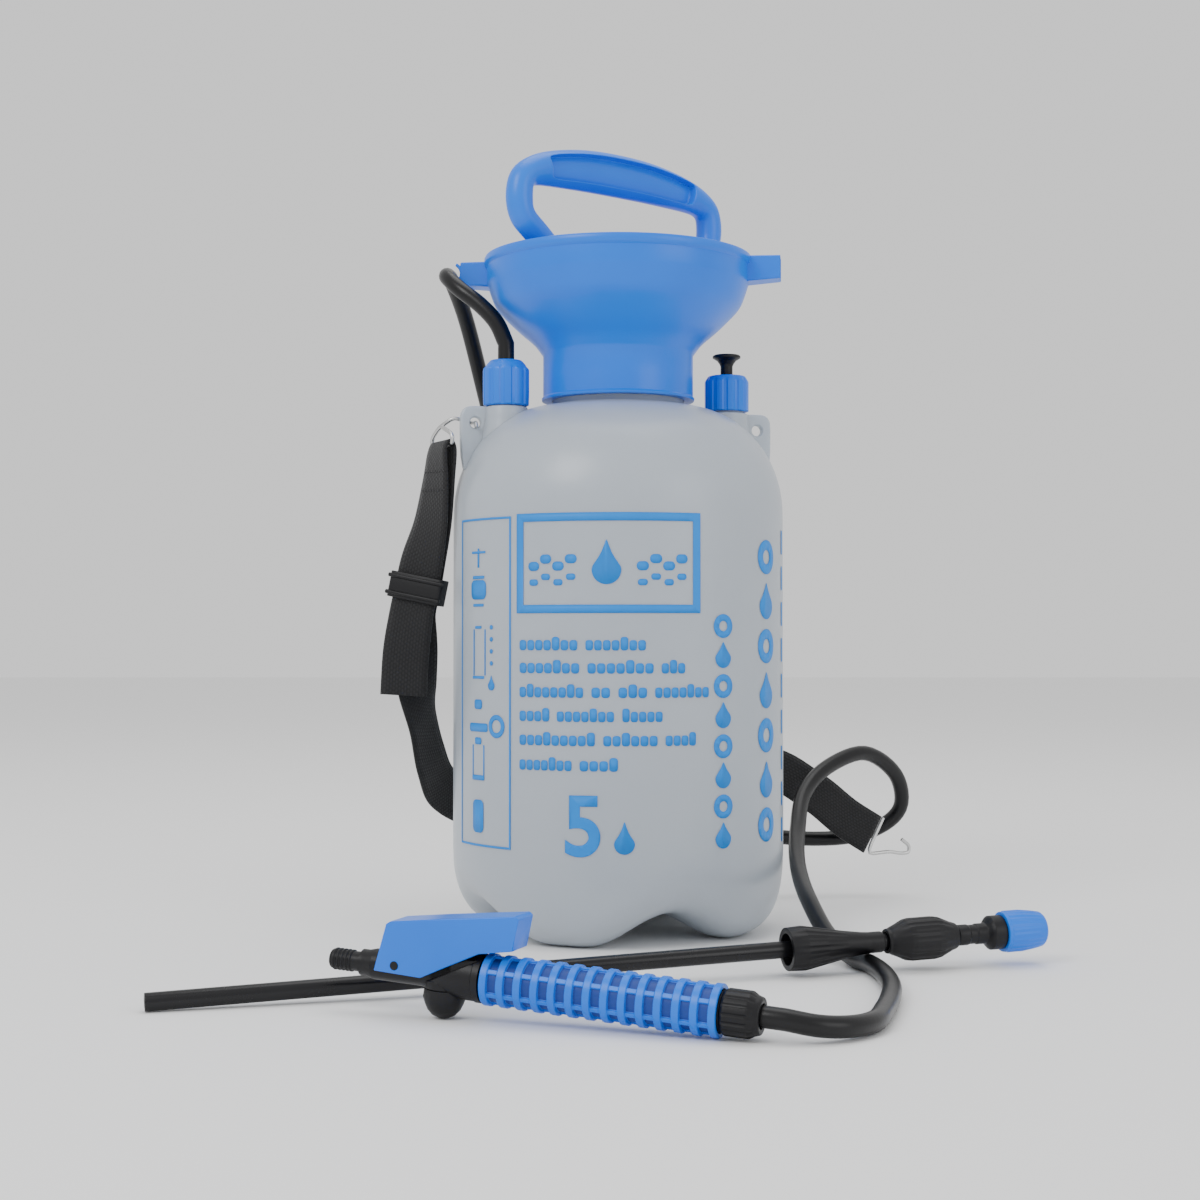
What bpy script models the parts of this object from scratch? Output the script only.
"""A five litre pump sprayer: tank with funnel and plunger pump, hose, gun, loose lance, and carry strap.

Lengths are in metres and +Z is up. Every piece is its own object. The tank's axis stands at ASSEMBLY_AT, so that
the origin lies on the floor under the middle of the whole set.
"""

import math

import bmesh
import bpy
from mathutils import Matrix, Vector

# Clearances
GAP = 0.0003  # between pieces that touch
SLOT = 0.0008  # beside webbing in its slider

# Place of the tank's axis on the floor
ASSEMBLY_AT = (-0.0020, 0.0865, 0.0)

# Tank
TANK_RADIUS = 0.090
TANK_WALL = 0.0025
BASE_HEIGHT = 0.042
SHOULDER_HEIGHT = 0.2257
DOME_RISE = 0.0586
TANK_TOP = SHOULDER_HEIGHT + DOME_RISE
NECK_RADIUS = 0.036
NECK_FOOT_RADIUS = NECK_RADIUS + 0.001
NECK_BORE = NECK_RADIUS - 0.005
NECK_TOP = TANK_TOP + 0.0247
TANK_STEPS = 48
FOOT_COUNT = 4
FOOT_TURN = math.radians(-22.5)
FOOT_FLAT = math.radians(8)
PAD_IN = TANK_RADIUS - 0.031
PAD_OUT = TANK_RADIUS - 0.021
ARCH_HEIGHT = 0.0170
BASE_DIMPLE = 0.0140

# Ports on the shoulder, for the hose and for the relief valve
PORT_RADIUS = TANK_RADIUS - 0.0272
PORT_TURN = math.radians(195)
RELIEF_TURN = PORT_TURN - math.pi
SPOUT_RADIUS = 0.0096
SPOUT_BORE = 0.0065
OUTLET_SPOUT_TOP = TANK_TOP + 0.0117
RELIEF_SPOUT_TOP = TANK_TOP + 0.0097

# Strap lugs outside the ports
LUG_THICK = 0.005
LUG_OUT = TANK_RADIUS - 0.002
LUG_TOP = TANK_TOP - 0.0013
LUG_HOLE_RADIUS = 0.0030
LUG_HOLE_OUT = TANK_RADIUS - 0.010
LUG_HOLE_HEIGHT = TANK_TOP - 0.0103

# Funnel
FUNNEL_WALL = 0.0022
COLLAR_RADIUS = NECK_RADIUS + 0.0051
COLLAR_FOOT = NECK_TOP - 0.021
FLOOR_THICK = 0.0022
FLOOR_HOLE = NECK_BORE + GAP
RIM_RADIUS = 0.0734
BOWL_RADIUS = RIM_RADIUS - 0.0016
RIM_TOP = NECK_TOP + 0.0575
RIM_LIP = 0.0044
EAR_OUT = RIM_RADIUS + 0.0161
EAR_WIDTH = 0.014
EAR_TALL = 0.0125
EAR_TURN = math.radians(-7)
GASKET_THICK = 0.0017

# Pump
BARREL_BORE = 0.0155
BARREL_WALL = 0.0020
BARREL_FOOT = 0.088
BARREL_FLOOR = 0.003
SKIRT_RADIUS = NECK_BORE - 0.0006
SKIRT_FOOT = NECK_TOP - 0.019
FLANGE_RADIUS = NECK_RADIUS - 0.001
FLANGE_THICK = 0.0034
CAP_RADIUS = 0.024
CAP_TALL = 0.0107
ROD_RADIUS = 0.0065
PISTON_FOOT = 0.100
PISTON_TALL = 0.012
RING_DEPTH = 0.0026
RING_TALL = 0.0034
SCREW_HEAD_RADIUS = 0.0070
SCREW_HEAD_TALL = 0.0034
SCREW_SHANK_RADIUS = 0.0025
SCREW_SHANK_LONG = 0.026
VALVE_RADIUS = 0.0080
VALVE_STEM_RADIUS = 0.0022
CAGE_WALL = 0.0018
CAGE_FOOT = 0.078

# Handle
HANDLE_TURN = math.radians(40)
HANDLE_HALF = 0.076
POST_RADIUS = 0.0075
GRIP_TOP = RIM_TOP + 0.0575
GRIP_HALF_TALL = 0.012
GRIP_HALF_THICK = 0.0090
GRIP_END_HEIGHT = GRIP_TOP - 0.019
CORNER_HEIGHT = GRIP_TOP - 0.0455
HUB_RADIUS = 0.011
HUB_TALL = 0.017
HANDLE_PIN_RADIUS = 0.0015
HANDLE_SIDES = 10

# Hose
HOSE_RADIUS = 0.0045
TAIL_BORE = 0.0015

# Outlet
OUTLET_NUT_RADIUS = SPOUT_RADIUS + 0.0028
OUTLET_NUT_FOOT = OUTLET_SPOUT_TOP - 0.0126
OUTLET_NUT_TOP = OUTLET_SPOUT_TOP + 0.0123
DIP_RADIUS = 0.0042
DIP_BORE = 0.0028
DIP_FOOT = 0.026

# Relief valve
RELIEF_NUT_RADIUS = SPOUT_RADIUS + 0.00265
RELIEF_NUT_FOOT = RELIEF_SPOUT_TOP - 0.0100
RELIEF_NUT_TOP = RELIEF_SPOUT_TOP + 0.0100
KNOB_RADIUS = 0.0078
KNOB_TOP = RELIEF_NUT_TOP + 0.0120
KNOB_STEM_RADIUS = 0.00335
STEM_RADIUS = 0.0018
RELIEF_SEAT_HEIGHT = RELIEF_SPOUT_TOP - 0.0120
SPRING_WIRE = 0.00045

# Turn that keeps the edges of crossing round cutters off one another
CUTTER_TURN = math.radians(7)

# Gun, in its own frame: X runs from the lance connector's tip to the hose, Z is up
GUN_TIP = (-0.1240, -0.2280, 0.0222)
GUN_AXIS = (0.9377, -0.3406, -0.0640)
CONNECTOR_RADIUS = 0.0047
CONNECTOR_LONG = 0.018
GUN_NOSE_RADIUS = 0.0065
CORE_RADIUS = 0.0085
GUN_BODY_RADIUS = CORE_RADIUS + 0.0013
VALVE_AT = 0.053
VALVE_TOWER_RADIUS = GUN_BODY_RADIUS - 0.00105
TOWER_TOP = 0.0110
VALVE_CAP_FOOT = 0.0185
VALVE_CAP_RIM = 0.0060
VALVE_CHAMBER = 0.0052
VALVE_SEAT = -0.0036
VALVE_THROAT = 0.0034
GUN_STEM_RADIUS = 0.0020
GUN_STEM_TOP = 0.0190
OUTLET_WAY_RADIUS = 0.0012
OUTLET_WAY_DROP = 0.0016
INLET_WAY_RADIUS = 0.0009
INLET_WAY_DROP = 0.0048
CORE_BORE = CORE_RADIUS - 0.0023
GRIP_START = 0.072
GRIP_END = 0.1736
SLEEVE_RADIUS = CORE_RADIUS + 0.00235
THREAD_RADIUS = CORE_RADIUS - 0.0013
THREAD_END = 0.183
HOSE_NUT_RADIUS = THREAD_RADIUS + 0.00205
HOSE_NUT_END = 0.190
FILTER_RADIUS = 0.0050

# Lever of the gun
LEVER_PIVOT = (0.0329, 0.0020)
LEVER_FRONT = 0.0235
LEVER_BACK = 0.0874
LEVER_HALF = 0.0086
LEVER_WALL = 0.0017
LEVER_PIN_RADIUS = 0.0015
LEVER_PRESS = math.radians(4)
LEVER_UNDERSIDE = [(LEVER_FRONT, -0.0010), (0.0450, -0.0016), (0.0705, 0.0113), (LEVER_BACK - 0.002, 0.0140)]

# Lance, in its own frame: X runs from the bare end to the nozzle
LANCE_END = (-0.2035, -0.2330, 0.0042)
LANCE_AXIS = (0.9593, 0.2823, 0.0300)
LANCE_RADIUS = 0.0040
LANCE_BORE = 0.0026
LANCE_LONG = 0.352
LANCE_NUT_START = LANCE_LONG - 0.059
LANCE_NUT_END = LANCE_LONG - 0.0105
LANCE_NUT_MOUTH = LANCE_RADIUS + 0.0065
LANCE_NUT_BACK = LANCE_RADIUS + 0.0010
COUPLING_START = LANCE_LONG - 0.0085
COUPLING_END = LANCE_LONG + 0.028
COUPLING_RADIUS = LANCE_RADIUS + 0.0062
COUPLING_END_RADIUS = LANCE_RADIUS + 0.0020
NECK_END = COUPLING_END + 0.017
NOZZLE_NECK_RADIUS = 0.0050
NOZZLE_FLANGE_RADIUS = 0.0082
NOZZLE_THREAD_RADIUS = 0.0065
NOZZLE_CAP_START = NECK_END + 0.0075
NOZZLE_CAP_END = NOZZLE_CAP_START + 0.0217
NOZZLE_CAP_RADIUS = NOZZLE_THREAD_RADIUS + 0.0035
NOZZLE_CAP_FRONT_RADIUS = NOZZLE_CAP_RADIUS - 0.0012
CORE_NOZZLE_RADIUS = 0.0030

# Strap
STRAP_WIDTH = 0.025
STRAP_THICK = 0.0015
HOOK_WIRE = 0.0011
ADJUSTER_WIDTH = STRAP_WIDTH + 0.006
ADJUSTER_TALL = 0.014
ADJUSTER_WALL = 0.0014

# Centre line of the hose between its two tails, chosen by hand
HOSE_ROUTE = [
    (-0.0660, -0.0160, 0.3290),
    (-0.0750, -0.0140, 0.3390),
    (-0.0860, -0.0100, 0.3480),
    (-0.0934, -0.0010, 0.3560),
    (-0.0942, 0.0110, 0.3590),
    (-0.0925, 0.0240, 0.3570),
    (-0.0860, 0.0460, 0.3380),
    (-0.0760, 0.0720, 0.2950),
    (-0.0620, 0.0960, 0.2350),
    (-0.0400, 0.1120, 0.1600),
    (-0.0050, 0.1160, 0.0950),
    (0.0400, 0.1180, 0.0560),
    (0.0850, 0.1230, 0.0390),
    (0.1280, 0.1280, 0.0350),
    (0.1576, 0.1300, 0.0400),
    (0.1740, 0.1270, 0.0540),
    (0.1700, 0.1190, 0.0750),
    (0.1490, 0.1020, 0.0890),
    (0.1240, 0.0810, 0.0820),
    (0.1080, 0.0600, 0.0680),
    (0.1012, 0.0300, 0.0500),
    (0.0975, -0.0020, 0.0390),
    (0.0962, -0.0360, 0.0310),
    (0.0975, -0.0700, 0.0230),
    (0.1030, -0.1000, 0.0115),
    (0.1120, -0.1230, 0.0048),
    (0.1180, -0.1420, 0.0047),
    (0.1205, -0.1700, 0.0047),
    (0.1190, -0.2000, 0.0047),
    (0.1140, -0.2280, 0.0047),
    (0.1075, -0.2540, 0.0047),
    (0.1005, -0.2760, 0.0048),
    (0.0890, -0.2900, 0.0056),
    (0.0760, -0.2960, 0.0070),
]
HOSE_STEP = 0.0200
HOSE_STRAIGHT = 0.010

# Centre line of the webbing from its cut tail up to the hook and back down, then behind the tank to the free
# end: place, and the direction of its width
STRAP_ROUTE = [
    ((-0.1155, -0.0195, 0.1275), (1.00, -0.05, 0.00)),
    ((-0.1142, -0.0200, 0.1500), (1.00, -0.08, 0.00)),
    ((-0.1115, -0.0203, 0.1700), (0.96, -0.27, 0.00)),
    ((-0.1085, -0.0205, 0.1850), (0.95, -0.31, 0.00)),
    ((-0.1055, -0.0210, 0.2000), (0.92, -0.38, 0.00)),
    ((-0.1010, -0.0210, 0.2200), (0.76, -0.65, 0.00)),
    ((-0.0985, -0.0205, 0.2430), (0.58, -0.81, 0.00)),
    ((-0.0975, -0.0202, 0.2590), (0.45, -0.89, 0.00)),
    ((-0.0950, -0.0190, 0.2640), (0.45, -0.89, 0.00)),
    ((-0.0925, -0.0178, 0.2590), (0.45, -0.89, 0.00)),
    ((-0.0950, -0.0180, 0.2430), (0.58, -0.81, 0.00)),
    ((-0.0990, -0.0180, 0.2200), (0.76, -0.65, 0.00)),
    ((-0.1045, -0.0170, 0.2000), (0.92, -0.38, 0.00)),
    ((-0.1075, -0.0160, 0.1850), (0.95, -0.31, 0.00)),
    ((-0.1105, -0.0152, 0.1700), (0.96, -0.27, 0.00)),
    ((-0.1100, -0.0130, 0.1500), (0.95, 0.31, 0.00)),
    ((-0.1090, -0.0090, 0.1320), (0.75, 0.66, 0.00)),
    ((-0.1070, 0.0010, 0.1130), (0.45, 0.89, 0.10)),
    ((-0.1040, 0.0200, 0.0900), (0.50, 0.60, 0.62)),
    ((-0.0985, 0.0430, 0.0720), (0.42, 0.18, 0.89)),
    ((-0.0800, 0.0720, 0.0600), (0.10, 0.05, 0.99)),
    ((-0.0420, 0.0960, 0.0590), (0.00, 0.00, 1.00)),
    ((0.0050, 0.1045, 0.0680), (0.00, 0.05, 1.00)),
    ((0.0500, 0.1010, 0.0780), (0.05, 0.10, 0.99)),
    ((0.0900, 0.0960, 0.0810), (0.20, 0.25, 0.95)),
    ((0.1180, 0.1010, 0.0660), (0.55, 0.35, 0.76)),
    ((0.1380, 0.1080, 0.0500), (0.55, 0.30, 0.78)),
    ((0.1550, 0.1130, 0.0390), (0.45, 0.25, 0.86)),
]
STRAP_BETWEEN = 2

MATERIALS = {
    "milky_plastic": ((0.62, 0.66, 0.70), 0.38, 0.0),
    "blue_plastic": ((0.0, 0.21, 0.78), 0.35, 0.0),
    "black_plastic": ((0.012, 0.012, 0.014), 0.42, 0.0),
    "white_plastic": ((0.75, 0.76, 0.76), 0.40, 0.0),
    "black_rubber": ((0.010, 0.010, 0.011), 0.60, 0.0),
    "clear_tube": ((0.60, 0.64, 0.66), 0.25, 0.0),
    "webbing": ((0.010, 0.010, 0.012), 0.85, 0.0),
    "steel": ((0.62, 0.63, 0.64), 0.25, 1.0),
}


def clear_scene():
    for thing in list(bpy.data.objects):
        bpy.data.objects.remove(thing, do_unlink=True)


def material(name):
    found = bpy.data.materials.new(name)
    color, roughness, metallic = MATERIALS[name]
    found.use_nodes = True
    shader = found.node_tree.nodes["Principled BSDF"]
    shader.inputs["Base Color"].default_value = (*color, 1.0)
    shader.inputs["Roughness"].default_value = roughness
    shader.inputs["Metallic"].default_value = metallic
    found.diffuse_color = (*color, 1.0)
    return found


def empty(name, place, parent=None):
    """An axis or a frame to hang pieces on. place is a point or a matrix."""
    axis = bpy.data.objects.new(name, None)
    axis.empty_display_size = 0.02
    bpy.context.scene.collection.objects.link(axis)
    axis.parent = parent
    if isinstance(place, Matrix):
        axis.matrix_local = place
    else:
        axis.location = place
    return axis


def frame_along(point, direction):
    """A frame at point whose X runs along direction and whose Z is as upright as it can be."""
    x = Vector(direction).normalized()
    y = Vector((0, 0, 1)).cross(x).normalized()
    z = x.cross(y)
    turned_frame = Matrix((x, y, z)).transposed().to_4x4()
    turned_frame.translation = Vector(point)
    return turned_frame


def piece(name, mesh, finish, parent, at=(0, 0, 0), turn=0.0):
    """Makes an object from a bmesh, closes its normals and places it."""
    bmesh.ops.remove_doubles(mesh, verts=mesh.verts, dist=1e-7)
    bmesh.ops.recalc_face_normals(mesh, faces=mesh.faces)
    data = bpy.data.meshes.new(name)
    mesh.to_mesh(data)
    mesh.free()
    data.shade_smooth()
    data.set_sharp_from_angle(angle=math.radians(35))
    made = bpy.data.objects.new(name, data)
    bpy.context.scene.collection.objects.link(made)
    made.parent = parent
    made.location = at
    made.rotation_euler = (0, 0, turn)
    if finish:
        data.materials.append(finish)
    return made


def cutter(tool):
    tool.hide_render = True
    tool.display_type = "WIRE"
    return tool


def combine(target, operation, *tools):
    """Joins tools to target, or cuts them from it."""
    for tool in tools:
        modifier = target.modifiers.new(tool.name, "BOOLEAN")
        modifier.operation = operation
        modifier.solver = "EXACT"
        modifier.object = cutter(tool)
    return target


def turned(name, outline, finish, parent, along="Z", steps=14, at=(0, 0, 0)):
    """A turned solid. outline lists (radius, place along the axis); it closes on itself, or on the axis."""
    mesh = bmesh.new()
    points = [mesh.verts.new((radius, 0, height)) for radius, height in outline]
    lines = [mesh.edges.new(pair) for pair in zip(points, points[1:])]
    if outline[0][0] > 0:
        lines.append(mesh.edges.new((points[-1], points[0])))
    bmesh.ops.spin(
        mesh, geom=points + lines, cent=(0, 0, 0), axis=(0, 0, 1), angle=2 * math.pi, steps=steps, use_merge=True
    )
    if along == "X":
        bmesh.ops.rotate(mesh, verts=mesh.verts, cent=(0, 0, 0), matrix=Matrix.Rotation(math.pi / 2, 3, "Y"))
    if along == "Y":
        bmesh.ops.rotate(mesh, verts=mesh.verts, cent=(0, 0, 0), matrix=Matrix.Rotation(-math.pi / 2, 3, "X"))
    return piece(name, mesh, finish, parent, at)


def ring(inner, outer, low, high):
    return [(inner, low), (outer, low), (outer, high), (inner, high)]


def disc(outer, low, high):
    return [(0, low), (outer, low), (outer, high), (0, high)]


def extruded(name, outline, thickness, finish, parent, at=(0, 0, 0), turn=0.0):
    """A flat outline of (X, Z) points, given its thickness evenly to both sides of Y = 0."""
    mesh = bmesh.new()
    face = mesh.faces.new([mesh.verts.new((x, -thickness / 2, z)) for x, z in outline])
    grown = bmesh.ops.extrude_face_region(mesh, geom=[face])
    moved = [item for item in grown["geom"] if isinstance(item, bmesh.types.BMVert)]
    bmesh.ops.translate(mesh, verts=moved, vec=(0, thickness, 0))
    return piece(name, mesh, finish, parent, at, turn)


def lofted(name, rings, finish, parent, closed=False):
    """A skin through rings of points. A closed one joins its last ring to its first."""
    mesh = bmesh.new()
    loops = [[mesh.verts.new(point) for point in points] for points in rings]
    pairs = list(zip(loops, loops[1:]))
    if closed:
        pairs.append((loops[-1], loops[0]))
    else:
        mesh.faces.new(list(reversed(loops[0])))
        mesh.faces.new(loops[-1])
    for near, far in pairs:
        for i in range(len(near)):
            j = (i + 1) % len(near)
            mesh.faces.new((near[i], near[j], far[j], far[i]))
    return piece(name, mesh, finish, parent)


def smooth_points(points, spacing=None, between=None):
    """Points on a smooth curve through the given ones, evenly spaced, or so many to each stretch."""
    ends = [points[0] * 2 - points[1]] + list(points) + [points[-1] * 2 - points[-2]]
    count = between or 24
    fine = []
    for a, b, c, d in zip(ends, ends[1:], ends[2:], ends[3:]):
        for step in range(count):
            t = step / count
            fine.append(
                0.5 * (2 * b + (c - a) * t + (2 * a - 5 * b + 4 * c - d) * t**2 + (3 * b - a - 3 * c + d) * t**3)
            )
    fine.append(points[-1])
    if between:
        return fine
    travelled = [0.0]
    for near, far in zip(fine, fine[1:]):
        travelled.append(travelled[-1] + (far - near).length)
    stretches = max(2, round(travelled[-1] / spacing))
    even = []
    i = 0
    for step in range(stretches):
        goal = travelled[-1] * step / stretches
        while travelled[i + 1] < goal:
            i += 1
        part = (goal - travelled[i]) / (travelled[i + 1] - travelled[i])
        even.append(fine[i].lerp(fine[i + 1], part))
    return even + [fine[-1]]


def wire(name, points, radius, finish, parent, sides=2):
    """A round wire or hose along points, with its ends closed."""
    curve = bpy.data.curves.new(name, "CURVE")
    curve.dimensions = "3D"
    curve.bevel_depth = radius
    curve.bevel_resolution = sides
    curve.use_fill_caps = True
    line = curve.splines.new("POLY")
    line.points.add(len(points) - 1)
    for spot, point in zip(line.points, points):
        spot.co = (*point, 1.0)
    curve.materials.append(finish)
    made = bpy.data.objects.new(name, curve)
    bpy.context.scene.collection.objects.link(made)
    made.parent = parent
    return made


def coil_points(radius, low, high, turns, at=(0, 0), per_turn=8):
    count = int(turns * per_turn)
    return [
        Vector(
            (
                at[0] + radius * math.cos(2 * math.pi * i / per_turn),
                at[1] + radius * math.sin(2 * math.pi * i / per_turn),
                low + (high - low) * i / count,
            )
        )
        for i in range(count + 1)
    ]


def around(radius, turn, height=0.0):
    return (radius * math.cos(turn), radius * math.sin(turn), height)


# Tank


def foot_weight(turn):
    """1 on a foot, falling to 0 halfway between two feet."""
    half = math.pi / FOOT_COUNT
    off = abs((turn - FOOT_TURN + half) % (2 * half) - half)
    if off <= FOOT_FLAT:
        return 1.0
    return 0.5 + 0.5 * math.cos(math.pi * (off - FOOT_FLAT) / (half - FOOT_FLAT))


def tank_base(radius, lift):
    """(radius, height on a foot, height between feet) from the middle of the base out to the straight wall."""
    scale = radius / TANK_RADIUS
    outer = [
        (0.022, BASE_DIMPLE * 0.93, BASE_DIMPLE),
        (0.045, BASE_DIMPLE * 0.45, BASE_DIMPLE + 0.07 * ARCH_HEIGHT),
        (PAD_IN, 0.0, ARCH_HEIGHT * 0.96),
        (PAD_OUT, 0.0, ARCH_HEIGHT * 1.03),
        (TANK_RADIUS * 0.880, 0.0050, ARCH_HEIGHT * 1.24),
        (TANK_RADIUS * 0.945, 0.0125, ARCH_HEIGHT * 1.55),
        (TANK_RADIUS * 0.985, 0.0240, ARCH_HEIGHT * 1.98),
        (TANK_RADIUS, BASE_HEIGHT, BASE_HEIGHT),
    ]
    return [(r * scale, low + lift, high + lift) for r, low, high in outer]


def dome(inset, parts=6):
    """(radius, height) of the shoulder, a quarter ellipse from the wall to the foot of the neck."""
    across = TANK_RADIUS - NECK_FOOT_RADIUS - inset
    rise = DOME_RISE - inset
    return [
        (
            NECK_FOOT_RADIUS + across * math.cos(math.pi / 2 * i / parts),
            SHOULDER_HEIGHT + rise * math.sin(math.pi / 2 * i / parts),
        )
        for i in range(parts + 1)
    ]


def tank_solid(name, base, middle_height, above, finish, parent):
    rings = []
    turns = [2 * math.pi * i / TANK_STEPS for i in range(TANK_STEPS)]
    for radius, low, high in base:
        rings.append([around(radius, turn, high + (low - high) * foot_weight(turn)) for turn in turns])
    for radius, height in above:
        rings.append([around(radius, turn, height) for turn in turns])
    mesh = bmesh.new()
    loops = [[mesh.verts.new(point) for point in points] for points in rings]
    bottom = mesh.verts.new((0, 0, middle_height))
    top = mesh.verts.new((0, 0, above[-1][1]))
    for i in range(TANK_STEPS):
        j = (i + 1) % TANK_STEPS
        mesh.faces.new((bottom, loops[0][j], loops[0][i]))
        mesh.faces.new((top, loops[-1][i], loops[-1][j]))
        for near, far in zip(loops, loops[1:]):
            mesh.faces.new((near[i], near[j], far[j], far[i]))
    return piece(name, mesh, finish, parent)


def lug(name, turn, parent):
    """The upright web outside a port, whose hole takes the strap's hook."""
    outline = [
        (PORT_RADIUS - 0.0048, LUG_TOP - 0.022),
        (PORT_RADIUS + 0.0032, LUG_TOP),
        (LUG_OUT - 0.004, LUG_TOP),
        (LUG_OUT, LUG_TOP - 0.004),
        (LUG_OUT, LUG_TOP - 0.021),
        (LUG_OUT - 0.0005, LUG_TOP - 0.037),
        (LUG_OUT - 0.008, LUG_TOP - 0.044),
    ]
    return extruded(name, outline, LUG_THICK, None, parent, turn=turn)


def build_tank(finish, parent):
    tank = tank_solid(
        "tank",
        tank_base(TANK_RADIUS, 0.0),
        BASE_DIMPLE,
        dome(0.0) + [(NECK_RADIUS, SHOULDER_HEIGHT + DOME_RISE + 0.0012), (NECK_RADIUS, NECK_TOP)],
        finish,
        parent,
    )
    inside_dome = dome(TANK_WALL)[:-1]
    inside = tank_solid(
        "tank_inside",
        tank_base(TANK_RADIUS - TANK_WALL, TANK_WALL),
        BASE_DIMPLE + TANK_WALL,
        inside_dome
        + [(NECK_BORE, SHOULDER_HEIGHT + DOME_RISE - TANK_WALL), (NECK_BORE, NECK_TOP + 0.010)],
        None,
        parent,
    )
    spouts = []
    bores = []
    for side, turn, top in (("outlet", PORT_TURN, OUTLET_SPOUT_TOP), ("relief", RELIEF_TURN, RELIEF_SPOUT_TOP)):
        at = around(PORT_RADIUS, turn)
        spouts.append(turned(side + "_spout", disc(SPOUT_RADIUS, TANK_TOP - 0.0223, top), None, parent, at=at))
        bores.append(turned(side + "_bore", disc(SPOUT_BORE, TANK_TOP - 0.0443, top + 0.01), None, parent, at=at))
        spouts.append(lug(side + "_lug", turn, parent))
        hole_axis = empty(side + "_lug_hole_axis", Matrix.Rotation(turn, 4, "Z"), parent)
        hole = disc(LUG_HOLE_RADIUS, -LUG_THICK, LUG_THICK)
        hole_at = (LUG_HOLE_OUT, 0, LUG_HOLE_HEIGHT)
        bores.append(turned(side + "_lug_hole", hole, None, hole_axis, along="Y", steps=12, at=hole_at))
    combine(tank, "UNION", *spouts)
    combine(tank, "DIFFERENCE", inside, *bores)
    return tank


# Funnel


def bowl(radius_change, height_change):
    """(radius, height) of the bowl's curve from the collar to under the rim."""
    deep = RIM_TOP - RIM_LIP - COLLAR_TOP
    wide = BOWL_RADIUS - COLLAR_RADIUS
    curve = [(0.0, 0.0), (0.16, 0.13), (0.41, 0.265), (0.64, 0.40), (0.835, 0.535), (0.93, 0.67), (1.0, 0.805)]
    return [
        (COLLAR_RADIUS + wide * across + radius_change, COLLAR_TOP + deep * up + height_change)
        for across, up in curve
    ]


FLOOR_LOW = NECK_TOP + GASKET_THICK + 2 * GAP
FLOOR_HIGH = FLOOR_LOW + FLOOR_THICK
COLLAR_TOP = FLOOR_HIGH - 0.0007
BARREL_SEAT = FLOOR_HIGH + GASKET_THICK + 2 * GAP
FLANGE_TOP = BARREL_SEAT + FLANGE_THICK
CAP_TOP = FLANGE_TOP + GAP + CAP_TALL


def build_funnel(finish, parent):
    inner = bowl(-FUNNEL_WALL, FUNNEL_WALL * 0.45)
    inner[0] = (COLLAR_RADIUS - FUNNEL_WALL, FLOOR_HIGH)
    outline = [(NECK_RADIUS + GAP, COLLAR_FOOT), (COLLAR_RADIUS, COLLAR_FOOT)]
    outline += bowl(0.0, 0.0)
    outline += [
        (BOWL_RADIUS, RIM_TOP - RIM_LIP),
        (RIM_RADIUS, RIM_TOP - RIM_LIP),
        (RIM_RADIUS, RIM_TOP),
        (BOWL_RADIUS - FUNNEL_WALL, RIM_TOP),
    ]
    outline += reversed(inner)
    outline += [(FLOOR_HOLE, FLOOR_HIGH), (FLOOR_HOLE, FLOOR_LOW), (NECK_RADIUS + GAP, FLOOR_LOW)]
    funnel = turned("funnel", outline, finish, parent, steps=36)
    ear_top = RIM_TOP - 0.001
    ear_outline = [
        (BOWL_RADIUS - FUNNEL_WALL * 0.6, ear_top - EAR_TALL + 0.001),
        (EAR_OUT, ear_top - EAR_TALL),
        (EAR_OUT, ear_top),
        (BOWL_RADIUS - FUNNEL_WALL * 0.6, ear_top),
    ]
    for side, turn in (("right", EAR_TURN), ("left", EAR_TURN + math.pi)):
        combine(funnel, "UNION", extruded(side + "_ear", ear_outline, EAR_WIDTH, None, parent, turn=turn))
    notch_axis = empty("hose_notch_axis", Matrix.Rotation(EAR_TURN + math.pi, 4, "Z"), parent)
    notch = disc(HOSE_RADIUS + GAP, -EAR_WIDTH, EAR_WIDTH)
    notch_at = (EAR_OUT + HOSE_RADIUS * 0.55, 0, ear_top - EAR_TALL / 2)
    combine(funnel, "DIFFERENCE", turned("hose_notch", notch, None, notch_axis, along="Y", at=notch_at))
    gasket = ring(NECK_BORE + 0.0005, NECK_RADIUS - 0.0003, NECK_TOP + GAP, NECK_TOP + GAP + GASKET_THICK)
    turned("funnel_gasket", gasket, FINISH["black_rubber"], parent, steps=20)


# Pump


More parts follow.
